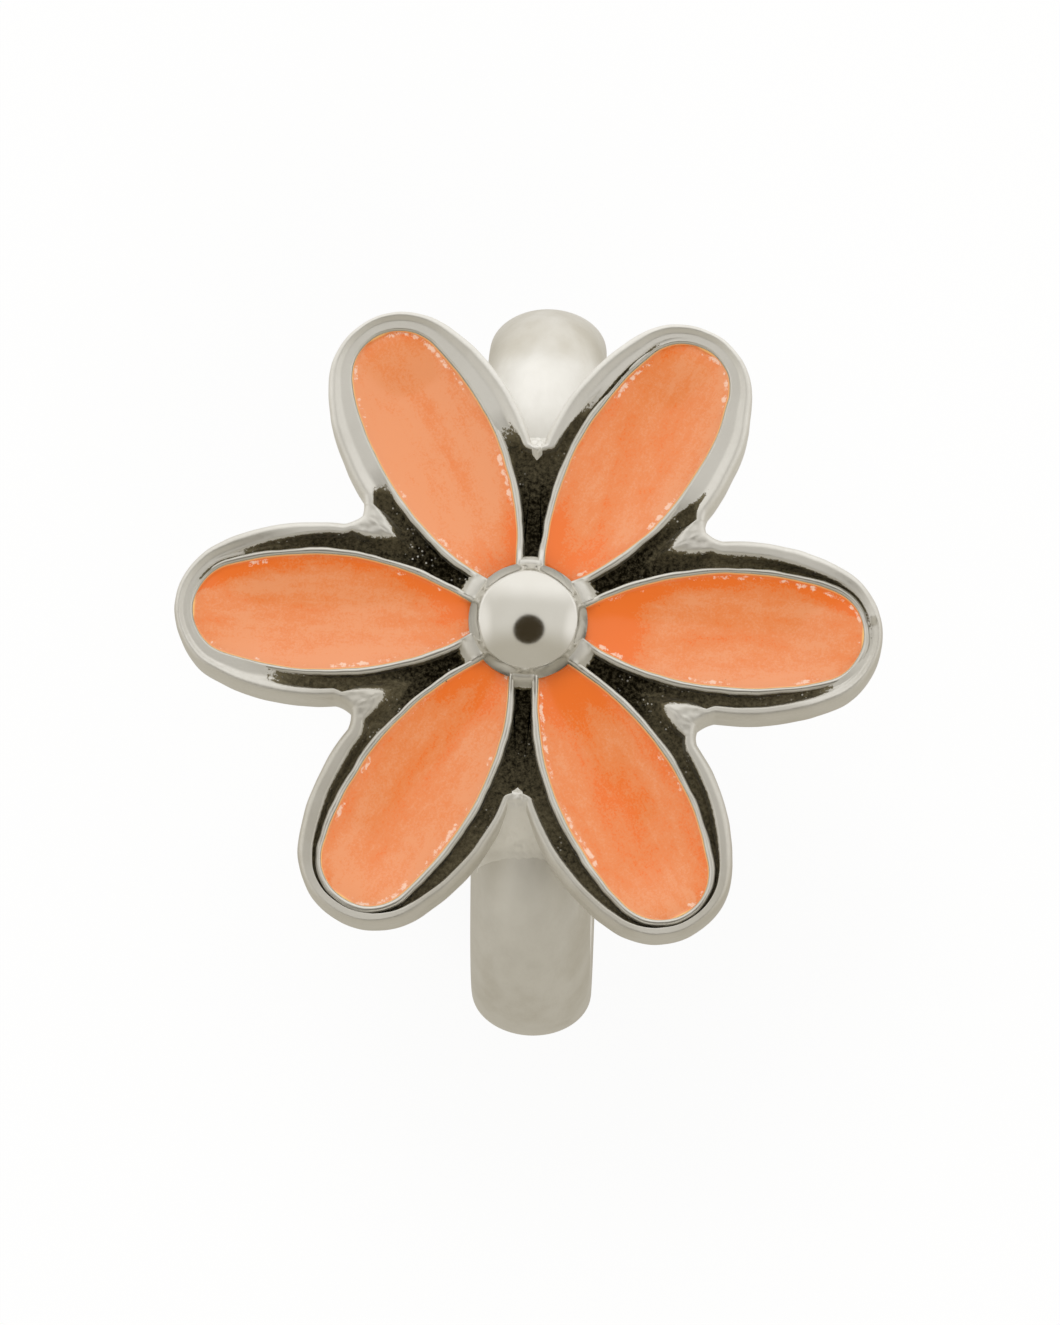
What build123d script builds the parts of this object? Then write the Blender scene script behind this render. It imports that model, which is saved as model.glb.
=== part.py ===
from build123d import *
from math import radians, sin, sqrt, tan
import os

# An enamelled six-petal flower on a closed strap loop, in millimetres.
# The flower faces +Z and lies on the crown of the loop. The loop is longest along Y, and the
# flat strap runs through it along X. Z = 0 is the lowest line of the loop's crown.

# petals
petal_count = 6
belly = 3.31              # distance from the centre at which every petal outline is widest
lobe_reach = 5.53         # centre to the tip of the plate
lobe_half_width = 1.44
lobe_root_radius = 3.44   # side arc from the root to the widest point
lobe_tip_radius = 1.19
side_notch_radius = 0.28  # notches between the petals, left and right
end_notch_radius = 0.10   # the two tighter notches, where the loop shows
cell_reach = 5.24         # centre to the tip of the enamel
cell_half_width = 0.93
cell_root_radius = 4.69
cell_tip_radius = 0.75

# plate, rim and cells
rim_width = 0.21          # along the sides of a lobe
rim_tip_width = 0.13      # the rim thins at each tip
rim_round = 0.08          # rolled outer edge
wall_thickness = 0.10     # wire walls round the enamel
wall_tip_thickness = 0.09
crown_seat = 0.10         # how far the loop's crown is let into the back of the plate
web_over_crown = 0.10     # metal left between the seat and the cells
enamel_thickness = 0.26   # at the edge of a cell
channel_floor = 0.35      # plate thickness under the dark channels
wall_lip = 0.06           # wall top over the enamel's edge
rim_rise = 0.08           # rim top over the wall top
hub_radius = 1.20         # raised hub that carries the roots of the walls
dish_depth = 0.11         # hollow of the enamel along the middle of a petal
dish_half_width = 0.80
dish_half_length = 1.80

# centre dome
dome_base_radius = 0.93
dome_ball_radius = 0.985

# loop of half-round wire, flat side in
strap_width = 10.0
strap_play = 0.25         # each side of the strap
slot_height = 4.10
wire_width = 1.90
wire_thickness = 0.75
wire_side = 0.27          # straight side of the section, under the crown

# solder seams in the corners between the crown and the plate
seam_half_length = 2.00
seam_width = 0.42         # along the plate's back
seam_height = 0.20        # down the crown

# levels and sizes that follow
slot_length = strap_width + 2 * strap_play
loop_length = slot_length + 2 * wire_thickness
loop_height = slot_height + 2 * wire_thickness
crown_rise = wire_thickness - wire_side
crown_radius = (wire_width**2 / 4 + crown_rise**2) / (2 * crown_rise)
plate_back = loop_height - crown_seat
cell_floor = plate_back + crown_seat + web_over_crown
enamel_edge = cell_floor + enamel_thickness
wall_top = enamel_edge + wall_lip
rim_top = wall_top + rim_rise


def middle(centre, radius, start, end):
    """The point halfway along the short arc from start to end."""
    return centre + ((start + end) * 0.5 - centre).normalized() * radius


def tip_joint(reach, half_width, tip_radius):
    """Where a petal's flank arc runs into its tip arc, for a petal that points along +X."""
    run = reach - belly
    flank_radius = (run**2 + half_width**2 - 2 * run * tip_radius) / (2 * (half_width - tip_radius))
    tip_centre = Vector(reach - tip_radius, 0)
    flank_centre = Vector(belly, half_width - flank_radius)
    return tip_centre + (tip_centre - flank_centre).normalized() * tip_radius


def petal(reach, half_width, root_radius, tip_radius, inset):
    """A leaf outline along +X, kept in its own sector by the inset from the sector's two sides."""
    half_step = radians(180 / petal_count)
    apex = inset / sin(half_step)
    widest = (belly, half_width)
    root = (belly - sqrt(2 * root_radius * half_width - half_width**2), 0)
    with BuildSketch() as outline:
        with BuildLine():
            TangentArc(widest, root, tangent=(-1, 0))
            flank = TangentArc(widest, tip_joint(reach, half_width, tip_radius), tangent=(1, 0))
            TangentArc(flank @ 1, (reach, 0), tangent=flank % 1)
            mirror(about=Plane.XZ)
        make_face()
        side_y = (reach - apex) * tan(half_step)
        Polygon((apex, 0), (reach, -side_y), (reach, side_y), align=None, mode=Mode.INTERSECT)
    return outline.sketch


def flower(reach, half_width, root_radius, tip_radius, notch_radii):
    """Closed outline of all the lobes, with a round notch of the given radius after each lobe."""
    step = 360 / petal_count
    joint = tip_joint(reach, half_width, tip_radius)
    root_centre = Vector(belly, half_width - root_radius)
    bisector = Vector(1, 0).rotate(Axis.Z, step / 2)
    across = root_centre.dot(bisector)
    starts, bottoms = [], []
    for radius in notch_radii:
        gap = root_radius + radius
        notch_centre = bisector * (across + sqrt(across**2 - root_centre.dot(root_centre) + gap**2))
        starts.append(root_centre + (notch_centre - root_centre) * (root_radius / gap))
        bottoms.append(bisector * (notch_centre.length - radius))
    with BuildSketch() as outline:
        with BuildLine():
            for index, (start, bottom) in enumerate(zip(starts, bottoms)):
                after = Vector(start.X, -start.Y).rotate(Axis.Z, step)
                arcs = [
                    ThreePointArc((joint.X, -joint.Y), (reach, 0), joint, mode=Mode.PRIVATE),
                    ThreePointArc(start, bottom, after, mode=Mode.PRIVATE),
                ]
                for side, end in ((-1, starts[index - 1]), (1, start)):
                    widest = (belly, side * half_width)
                    for point, way in ((end, -1), (joint, 1)):
                        target = (point.X, side * point.Y)
                        arcs.append(TangentArc(widest, target, tangent=(way, 0), mode=Mode.PRIVATE))
                add([arc.rotate(Axis.Z, index * step) for arc in arcs])
        make_face()
    return outline.sketch


notches = [
    end_notch_radius if index % 3 == 1 else side_notch_radius for index in range(petal_count)
]
lobes = flower(lobe_reach, lobe_half_width, lobe_root_radius, lobe_tip_radius, notches)
channels = flower(
    lobe_reach - rim_tip_width,
    lobe_half_width - rim_width,
    lobe_root_radius - rim_width,
    lobe_tip_radius - rim_width,
    [radius + rim_width for radius in notches],
)
cell = petal(cell_reach, cell_half_width, cell_root_radius, cell_tip_radius, wall_thickness)
wall = petal(
    cell_reach + wall_tip_thickness,
    cell_half_width + wall_thickness,
    cell_root_radius + wall_thickness,
    cell_tip_radius + wall_thickness,
    0,
)

# strap_loop: half-round wire bent into an oblong ring
with BuildPart() as strap_loop:
    with BuildLine(Plane.YZ) as ring:
        end_radius = loop_height / 2
        end_centre = loop_length / 2 - end_radius
        lower_run = Line((-end_centre, 0), (end_centre, 0))
        far_end = ThreePointArc(
            lower_run @ 1, (loop_length / 2, end_radius), (end_centre, loop_height)
        )
        upper_run = Line(far_end @ 1, (-end_centre, loop_height))
        ThreePointArc(upper_run @ 1, (-loop_length / 2, end_radius), lower_run @ 0)
    with BuildSketch(Plane.XZ.offset(end_centre)):
        with BuildLine():
            crown = ThreePointArc((-wire_width / 2, crown_rise), (0, 0), (wire_width / 2, crown_rise))
            Polyline(
                crown @ 1,
                (wire_width / 2, wire_thickness),
                (-wire_width / 2, wire_thickness),
                crown @ 0,
            )
        make_face()
    sweep(path=ring.wire())
strap_loop.part.label = "strap_loop"

# flower_plate: rim, channels and cell floors in one stamping, seated on the loop
with BuildPart() as flower_plate:
    with BuildSketch(Plane.XY.offset(plate_back)):
        add(lobes)
    extrude(amount=rim_top - plate_back)
    fillet(flower_plate.faces().sort_by(Axis.Z)[-1].edges(), rim_round)
    with BuildSketch(Plane.XY.offset(plate_back + channel_floor)):
        add(channels)
        Circle(hub_radius, mode=Mode.SUBTRACT)
    extrude(amount=rim_top - plate_back, mode=Mode.SUBTRACT)
    with BuildSketch(Plane.XY.offset(wall_top)):
        Circle(hub_radius)
    extrude(amount=rim_rise, mode=Mode.SUBTRACT)
    with BuildSketch(Plane.XY.offset(cell_floor)):
        with PolarLocations(0, petal_count):
            add(wall)
        Circle(dome_base_radius)
    extrude(amount=rim_top - cell_floor, mode=Mode.SUBTRACT)
    add(strap_loop.part, mode=Mode.SUBTRACT)
flower_plate.part.label = "flower_plate"

# cell_wall: one leaf of flat wire on edge, open at its root, where the dome closes it
with BuildPart() as cell_wall:
    with BuildSketch(Plane.XY.offset(cell_floor)):
        add(wall)
        add(cell, mode=Mode.SUBTRACT)
        Circle(dome_base_radius, mode=Mode.SUBTRACT)
    extrude(amount=wall_top - cell_floor)

# enamel_petal: a glass fill, dished along its middle by a barrel-shaped cutter
with BuildPart() as enamel_petal:
    with BuildSketch(Plane.XY.offset(cell_floor)):
        add(cell)
        Circle(dome_base_radius, mode=Mode.SUBTRACT)
    extrude(amount=enamel_thickness)
    barrel_axis = enamel_edge + (dish_half_width**2 - dish_depth**2) / (2 * dish_depth)
    with BuildSketch(Plane.XZ):
        with BuildLine():
            hollow = ThreePointArc(
                (belly - dish_half_length, enamel_edge),
                (belly, enamel_edge - dish_depth),
                (belly + dish_half_length, enamel_edge),
            )
            Polyline(
                hollow @ 1,
                (belly + dish_half_length, barrel_axis),
                (belly - dish_half_length, barrel_axis),
                hollow @ 0,
            )
        make_face()
    revolve(axis=Axis((0, 0, barrel_axis), (1, 0, 0)), mode=Mode.SUBTRACT)

# centre_dome: a polished ball top on a short drum that stands on the plate
with BuildPart() as centre_dome:
    with BuildSketch(Plane.XZ):
        with BuildLine():
            drum_edge = Vector(dome_base_radius, enamel_edge)
            ball_centre = drum_edge - Vector(
                dome_base_radius, sqrt(dome_ball_radius**2 - dome_base_radius**2)
            )
            ball_top = ball_centre + Vector(0, dome_ball_radius)
            ThreePointArc(
                drum_edge, middle(ball_centre, dome_ball_radius, drum_edge, ball_top), ball_top
            )
            Polyline(ball_top, (0, cell_floor), (dome_base_radius, cell_floor), drum_edge)
        make_face()
    revolve(axis=Axis.Z)
centre_dome.part.label = "centre_dome"

# solder_seam: a bead in the corner between the crown and the plate's back
with BuildPart() as solder_seam:
    with BuildSketch(Plane.XZ):
        seat_half_width = sqrt(crown_radius**2 - (crown_radius - crown_seat) ** 2)
        toe = seat_half_width + seam_width
        Polygon(
            (seat_half_width / 2, plate_back),
            (toe, plate_back),
            (toe - seam_width / 3, plate_back - seam_height),
            (seat_half_width / 2, plate_back - seam_height),
            align=None,
        )
        with Locations((0, loop_height - crown_radius)):
            Circle(crown_radius, mode=Mode.SUBTRACT)
    extrude(amount=seam_half_length, both=True)

pieces = [strap_loop.part, flower_plate.part, centre_dome.part]
for number in range(1, petal_count + 1):
    turn = (number - 1) * 360 / petal_count
    for name, source in (("cell_wall", cell_wall), ("enamel_petal", enamel_petal)):
        copy = source.part.rotate(Axis.Z, turn)
        copy.label = f"{name}_{number}"
        pieces.append(copy)
for name, turn in (("solder_seam_right", 0), ("solder_seam_left", 180)):
    bead = solder_seam.part.rotate(Axis.Z, turn)
    bead.label = name
    pieces.append(bead)

os.makedirs("parts", exist_ok=True)
for piece in pieces:
    export_step(piece, f"parts/{piece.label}.step")
    print(piece.label, round(piece.volume, 4), "mm3")
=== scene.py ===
import bpy
import math
import numpy as np
from mathutils import Matrix, Vector, noise


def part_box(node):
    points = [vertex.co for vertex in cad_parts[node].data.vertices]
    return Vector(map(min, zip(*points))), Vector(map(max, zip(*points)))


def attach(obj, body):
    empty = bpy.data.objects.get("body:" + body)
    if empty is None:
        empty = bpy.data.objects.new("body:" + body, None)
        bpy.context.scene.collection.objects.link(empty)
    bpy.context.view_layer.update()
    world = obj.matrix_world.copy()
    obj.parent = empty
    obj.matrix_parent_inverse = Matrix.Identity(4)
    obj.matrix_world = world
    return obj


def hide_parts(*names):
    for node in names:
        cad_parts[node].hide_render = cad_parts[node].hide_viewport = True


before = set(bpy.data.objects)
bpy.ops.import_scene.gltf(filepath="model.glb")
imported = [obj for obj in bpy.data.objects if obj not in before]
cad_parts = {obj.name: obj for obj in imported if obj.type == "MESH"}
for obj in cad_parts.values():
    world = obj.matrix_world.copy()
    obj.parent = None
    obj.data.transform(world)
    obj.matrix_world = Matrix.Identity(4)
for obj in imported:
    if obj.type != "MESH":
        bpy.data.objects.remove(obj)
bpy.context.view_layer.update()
mm = 0.001  # every size below is in millimetres, and meshes are made in metres


def nodeBox(node):
    low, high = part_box(node)
    return [value / mm for value in low], [value / mm for value in high]


plateLow, plateHigh = nodeBox("flower_plate")
wallHigh = nodeBox("cell_wall_1")[1]
fillLow, fillHigh = nodeBox("enamel_petal_1")
domeLow, domeHigh = nodeBox("centre_dome")
loopHigh = nodeBox("strap_loop")[1]
seamLow, seamHigh = nodeBox("solder_seam_right")
petals = 6
step = 2 * math.pi / petals
belly = 3.31  # widest place of every petal, from the centre
print("frame read: flower", round(2 * plateHigh[0], 2), "mm across")


# outlines: each petal is a leaf of three arcs a side, from its root over its belly to a round tip
lobeShape = {"reach": plateHigh[0], "halfWidth": 1.44, "rootRadius": 3.44, "tipRadius": 1.19}
wallShape = {"reach": wallHigh[0], "halfWidth": wallHigh[1], "rootRadius": 4.79, "tipRadius": 0.85}
cellShape = {"reach": fillHigh[0], "halfWidth": fillHigh[1], "rootRadius": 4.69, "tipRadius": 0.75}


def easeIn(low, high, value):  # smoothly from 0 at low to 1 at high
    t = np.clip((value - low) / (high - low), 0, 1)
    return t * t * (3 - 2 * t)


def easeOut(low, high, value):
    return 1 - easeIn(low, high, value)


def about(place, span):  # the two ends of a span that is given from a place
    return place + span[0], place + span[1]


def unevenness(x, y, z):
    return noise.noise(Vector((x, y, z)))


def unit(ways):
    return ways / np.linalg.norm(ways, axis=-1, keepdims=True)


def arcRun(centre, start, end, count=240):
    centre, start, end = (np.asarray(p, float) for p in (centre, start, end))
    first = math.atan2(*(start - centre)[::-1])
    turn = (math.atan2(*(end - centre)[::-1]) - first + math.pi) % (2 * math.pi) - math.pi
    angles = first + turn * np.linspace(0, 1, count)
    radius = np.linalg.norm(start - centre)
    return centre + radius * np.stack([np.cos(angles), np.sin(angles)], 1)


def leafCentres(shape):
    run, width, tip = shape["reach"] - belly, shape["halfWidth"], shape["tipRadius"]
    flankRadius = (run**2 + width**2 - 2 * run * tip) / (2 * (width - tip))
    root = np.array([belly, width - shape["rootRadius"]])
    flank = np.array([belly, width - flankRadius])
    tipCentre = np.array([shape["reach"] - tip, 0.0])
    return root, flank, tipCentre, tipCentre + unit(tipCentre - flank) * tip


def leafRun(shape, start):  # from start, on the root arc, to the tip: points and outward normals
    root, flank, tip, joint = leafCentres(shape)
    widest, end = (belly, shape["halfWidth"]), (shape["reach"], 0.0)
    points, normals = [], []
    for centre, first, last in ((root, start, widest), (flank, widest, joint), (tip, joint, end)):
        run = arcRun(centre, first, last)
        points.append(run[:-1])
        normals.append(unit(run - centre)[:-1])
    return np.concatenate([*points, [end]]), np.concatenate([*normals, [(1.0, 0.0)]])


def startOnCircle(shape, radius):  # where the root arc leaves a circle round the centre
    crossing = math.sqrt(2 * shape["rootRadius"] * shape["halfWidth"] - shape["halfWidth"] ** 2)
    widest = (belly, shape["halfWidth"])
    run = arcRun(leafCentres(shape)[0], (belly - crossing, 0.0), widest, count=2000)
    return run[np.argmin(abs(np.linalg.norm(run, axis=1) - radius))]


def resample(points, normals, shares):  # points at the given shares of the length
    walked = np.concatenate([[0], np.cumsum(np.linalg.norm(np.diff(points, axis=0), axis=1))])
    at = shares * walked[-1]
    place, way = (np.stack([np.interp(at, walked, run[:, i]) for i in (0, 1)], 1)
                  for run in (points, normals))
    return place, unit(way)


def turned(points, angle):
    c, s = math.cos(angle), math.sin(angle)
    x, y = points[..., 0], points[..., 1]
    out = np.array(points, float)
    out[..., 0], out[..., 1] = x * c - y * s, x * s + y * c
    return out


# meshes and pieces
def addObject(name, data):
    made = bpy.data.objects.new(name, data)
    bpy.context.scene.collection.objects.link(made)
    return made


def makePiece(name, points, faces, attributes, uv=None):
    mesh = bpy.data.meshes.new(name)
    mesh.from_pydata((np.asarray(points) * mm).tolist(), [], faces)
    for key, values in attributes.items():
        layer = mesh.attributes.new(key, "FLOAT", "POINT")
        layer.data.foreach_set("value", np.asarray(values, np.float32))
    if uv is not None:
        layer = mesh.uv_layers.new(name="petalMap")
        corner = np.zeros(len(mesh.loops), np.int32)
        mesh.loops.foreach_get("vertex_index", corner)
        layer.data.foreach_set("uv", np.asarray(uv, np.float32)[corner].ravel())
    mesh.shade_smooth()
    mesh.update()
    return addObject(name, mesh)


def gridFaces(columns, rows, closeColumns=False, closeRows=False):
    faces = []
    for c in range(columns if closeColumns else columns - 1):
        after = (c + 1) % columns
        for r in range(rows if closeRows else rows - 1):
            up = (r + 1) % rows
            faces.append((c * rows + r, after * rows + r, after * rows + up, c * rows + up))
    return faces


def ringFaces(columns, rows):  # a profile carried once round, closed over its first and last row
    faces = gridFaces(columns, rows, closeColumns=True)
    faces.append([c * rows for c in reversed(range(columns))])
    faces.append([c * rows + rows - 1 for c in range(columns)])
    return faces


def barFaces(columns, rows):  # a closed section carried along, with a cap at each end
    faces = gridFaces(columns, rows, closeRows=True)
    faces.append(list(range(rows)))
    faces.append([(columns - 1) * rows + r for r in reversed(range(rows))])
    return faces


def settle(piece, node=None):  # everything rides on the one body
    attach(piece, "root")
    if node:
        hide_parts(node)


# nodes, for geometry and shader trees alike: a value is a number, a vector, a colour or a socket
def feed(tree, socket, value):
    if isinstance(value, bpy.types.NodeSocket):
        tree.links.new(value, socket)
    else:
        socket.default_value = value


def add(tree, kind, **settings):
    node = tree.nodes.new(kind)
    for key, value in settings.items():
        if hasattr(node, key):
            setattr(node, key, value)
        else:
            feed(tree, node.inputs[key.replace("_", " ")], value)
    return node


def operate(tree, kind, operation, *values):
    node = add(tree, kind, operation=operation)
    for socket, value in zip(node.inputs, values):
        feed(tree, socket, value)
    return node.outputs[0]


def number(tree, operation, *values):
    return operate(tree, "ShaderNodeMath", operation, *values)


def vector(tree, operation, *values):
    return operate(tree, "ShaderNodeVectorMath", operation, *values)


def plus(tree, a, b):
    return number(tree, "ADD", a, b)


def minus(tree, a, b, clamp=False):
    result = number(tree, "SUBTRACT", a, b)
    result.node.use_clamp = clamp
    return result


def times(tree, a, b):
    return number(tree, "MULTIPLY", a, b)


def over(tree, a, b):
    return number(tree, "DIVIDE", a, b)


def ramp(tree, value, stops, smooth=False):  # stops: from low, from high, to low, to high
    node = add(tree, "ShaderNodeMapRange", interpolation_type="SMOOTHSTEP" if smooth else "LINEAR")
    for socket, stop in zip(node.inputs, (value, *stops)):
        feed(tree, socket, stop)
    return node.outputs[0]


def rise(tree, value, low, high):
    return ramp(tree, value, (low, high, 0, 1), True)


def fall(tree, value, low, high):
    return ramp(tree, value, (low, high, 1, 0), True)


def mix(tree, factor, a, b):
    node = add(tree, "ShaderNodeMix", data_type="RGBA")
    for socket, value in zip((node.inputs[0], node.inputs[6], node.inputs[7]), (factor, a, b)):
        feed(tree, socket, (*value, 1) if isinstance(value, tuple) else value)
    return node.outputs[2]


def mixValue(tree, factor, a, b):
    node = add(tree, "ShaderNodeMix")
    for socket, value in zip((node.inputs[0], node.inputs[2], node.inputs[3]), (factor, a, b)):
        feed(tree, socket, value)
    return node.outputs[0]


def attribute(tree, name):
    return add(tree, "ShaderNodeAttribute", attribute_name=name).outputs["Fac"]


def newMaterial(name):
    material = bpy.data.materials.new(name)
    material.use_nodes = True
    material.node_tree.nodes.clear()
    return material, material.node_tree


def output(tree, shader, kind="Material"):
    result = add(tree, "ShaderNodeOutput" + kind)
    tree.links.new(shader.outputs[0], result.inputs[0])


# Geometry Nodes: one tree sets a piece down at its angle with the unevenness of hand work
handWork = {"Broad": 0.050, "Broad Wave": 2.6, "Fine": 0.022, "Fine Wave": 0.55, "Seed": 4.0}


def startTree(name, sizes):  # geometry in and out, named sizes and a material
    tree = bpy.data.node_groups.new(name, "GeometryNodeTree")
    kinds = {"Geometry": "Geometry", **dict.fromkeys(sizes, "Float"), "Material": "Material"}
    sockets = {}
    for key, kind in kinds.items():
        socket = tree.interface.new_socket(name=key, in_out="INPUT", socket_type="NodeSocket" + kind)
        sockets[key] = socket.identifier
        if key in sizes:
            socket.default_value = sizes[key]
    tree.interface.new_socket(name="Geometry", in_out="OUTPUT", socket_type="NodeSocketGeometry")
    return tree, sockets, add(tree, "NodeGroupInput").outputs


def endTree(tree, solid, push, given):  # moves the points, then realizes and paints what was made
    move = add(tree, "GeometryNodeSetPosition", Geometry=solid, Offset=push)
    realize = add(tree, "GeometryNodeRealizeInstances", Geometry=move.outputs[0])
    paint = add(tree, "GeometryNodeSetMaterial", Geometry=realize.outputs[0], Material=given["Material"])
    tree.links.new(paint.outputs[0], add(tree, "NodeGroupOutput").inputs[0])


def scaledBy(tree, way, factor):
    return add(tree, "ShaderNodeVectorMath", operation="SCALE", Vector=way, Scale=factor).outputs[0]


def handTree():
    tree, sockets, given = startTree("handFinish", {"Angle": 0.0, **handWork})
    point = add(tree, "GeometryNodeMeshLine", Count=1).outputs[0]
    spin = add(tree, "ShaderNodeCombineXYZ", Z=given["Angle"]).outputs[0]
    piece = given["Geometry"]
    placed = add(tree, "GeometryNodeInstanceOnPoints", Points=point, Instance=piece, Rotation=spin)
    solid = add(tree, "GeometryNodeRealizeInstances", Geometry=placed.outputs[0]).outputs[0]
    where = add(tree, "GeometryNodeInputPosition").outputs[0]
    flat = vector(tree, "MULTIPLY", where, (1 / mm, 1 / mm, 0.0))
    pushes = []
    for key in ("Broad", "Fine"):
        wave = over(tree, 1.0, given[key + " Wave"])
        texture = add(tree, "ShaderNodeTexNoise", noise_dimensions="4D", Detail=1.0, Vector=flat, Scale=wave)
        tree.links.new(given["Seed"], texture.inputs["W"])
        centred = vector(tree, "SUBTRACT", texture.outputs["Color"], (0.5, 0.5, 0.5))
        pushes.append(scaledBy(tree, vector(tree, "MULTIPLY", centred, (2 * mm, 2 * mm, 0.0)), given[key]))
    endTree(tree, solid, vector(tree, "ADD", *pushes), given)
    return tree, sockets


def grow(rough, tree, sockets, values, material):  # runs a tree on a rough piece, leaves a plain mesh piece
    name = rough.name
    modifier = rough.modifiers.new("grow", "NODES")
    modifier.node_group = tree
    for key, value in values.items():
        modifier[sockets[key]] = float(value)
    modifier[sockets["Material"]] = material
    bpy.context.view_layer.update()
    made = bpy.data.meshes.new_from_object(rough.evaluated_get(bpy.context.evaluated_depsgraph_get()))
    old = rough.data
    bpy.data.objects.remove(rough)
    bpy.data.meshes.remove(old)
    made.name = name
    made.shade_smooth()
    return addObject(name, made)


handFinish, handSockets = handTree()


def setDown(rough, angle, material):
    return grow(rough, handFinish, handSockets, {"Angle": angle, **handWork}, material)


# shader groups, whose patterns stand on Object coordinates and whose sizes are in millimetres
def startGroup(name, inputs, outputs):
    group = bpy.data.node_groups.new(name, "ShaderNodeTree")
    for key, value in inputs.items():
        socket = group.interface.new_socket(name=key, in_out="INPUT", socket_type="NodeSocketFloat")
        socket.default_value = value
    for key in outputs:
        group.interface.new_socket(name=key, in_out="OUTPUT", socket_type="NodeSocketFloat")
    place = add(group, "ShaderNodeTexCoord").outputs["Object"]
    return group, place, add(group, "NodeGroupInput").outputs


def endGroup(group, results):
    end = add(group, "NodeGroupOutput")
    for key, value in results.items():
        group.links.new(value, end.inputs[key])
    return group


def pattern(tree, kind, place, scale, **settings):
    return add(tree, "ShaderNodeTex" + kind, Vector=place, Scale=scale, **settings).outputs[0]


skinLook = {"pitScale": 0.22, "pitEdge": (0.05, 0.16), "pitDepth": 1.5}
blackLook = {
    "raggedScale": 0.5, "speckScale": 0.45, "patchScale": 0.09,
    "maskEdge": (0.42, 0.58), "speckEdge": (0.12, 0.26), "patchEdge": (0.56, 0.70),
}


def castSkinGroup():  # the skin of cast and tumbled silver: soft cloudiness, fine grain and a few pits
    group, place, given = startGroup(
        "castSkin", {"Cloud Size": 1.2, "Grain Size": 0.05, "Pits": 0.3, "Brushed": 0.0},
        ("Cloud", "Grain", "Pit", "Height"))
    squeeze = add(group, "ShaderNodeCombineXYZ", X=1, Y=minus(group, 1, given["Brushed"]), Z=1).outputs[0]
    brushed = vector(group, "MULTIPLY", place, squeeze)
    broad, fine = (over(group, 1 / mm, given[key]) for key in ("Cloud Size", "Grain Size"))
    cloud = pattern(group, "Noise", brushed, broad, Detail=3.0, Roughness=0.6)
    grain = pattern(group, "Noise", brushed, fine, Detail=4.0, Roughness=0.6)
    pitScale = over(group, skinLook["pitScale"] / mm, given["Grain Size"])
    dot = fall(group, pattern(group, "Voronoi", place, pitScale), *skinLook["pitEdge"])
    pit = times(group, dot, number(group, "GREATER_THAN", given["Pits"], cloud))
    height = minus(group, grain, times(group, pit, skinLook["pitDepth"]))
    return endGroup(group, {"Cloud": cloud, "Grain": grain, "Pit": pit, "Height": height})


def blackeningGroup():  # makes a smooth mask ragged and grainy, with bright specks of bare metal
    group, place, given = startGroup(
        "blackening", {"Amount": 0.0, "Raggedness": 0.5, "Grain Size": 0.05, "Specks": 0.5}, ("Mask", "Tone"))
    look = blackLook
    keys = ("raggedScale", "speckScale", "patchScale")
    finer, coarser, broad = (over(group, look[key] / mm, given["Grain Size"]) for key in keys)
    ragged = pattern(group, "Noise", place, finer, Detail=6.0, Roughness=0.75)
    swing = times(group, minus(group, ragged, 0.5), given["Raggedness"])
    edge = rise(group, plus(group, given["Amount"], times(group, swing, 2.0)), *look["maskEdge"])
    dot = fall(group, pattern(group, "Voronoi", place, coarser, Randomness=1.0), *look["speckEdge"])
    patch = rise(group, pattern(group, "Noise", place, broad, Detail=1.0), *look["patchEdge"])
    bright = times(group, times(group, dot, patch), given["Specks"])
    return endGroup(group, {"Mask": minus(group, edge, bright, True), "Tone": ragged})


castSkin = castSkinGroup()
blackening = blackeningGroup()


# silver: bare, tarnished and blackened, with painted highlights and painted shade laid on from an attribute
metalLook = {
    "bare": (0.82, 0.805, 0.765), "tarnishAndShade": (0.60, 0.565, 0.485), "polished": (0.98, 0.97, 0.94),
    "black": (0.006, 0.0045, 0.0018), "rubbed": (0.215, 0.186, 0.118), "rubbedRun": (0.53, 0.95),
    "wornBelow": 1.06, "wear": 2.0, "cloudRun": (0.38, 0.68), "pitTarnish": 0.7, "mirrorLoss": 0.8,
    "grainSwing": 0.15, "blackRoughness": 0.55, "blackHeight": 3.0, "bumpDepth": 0.004,
}


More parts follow.
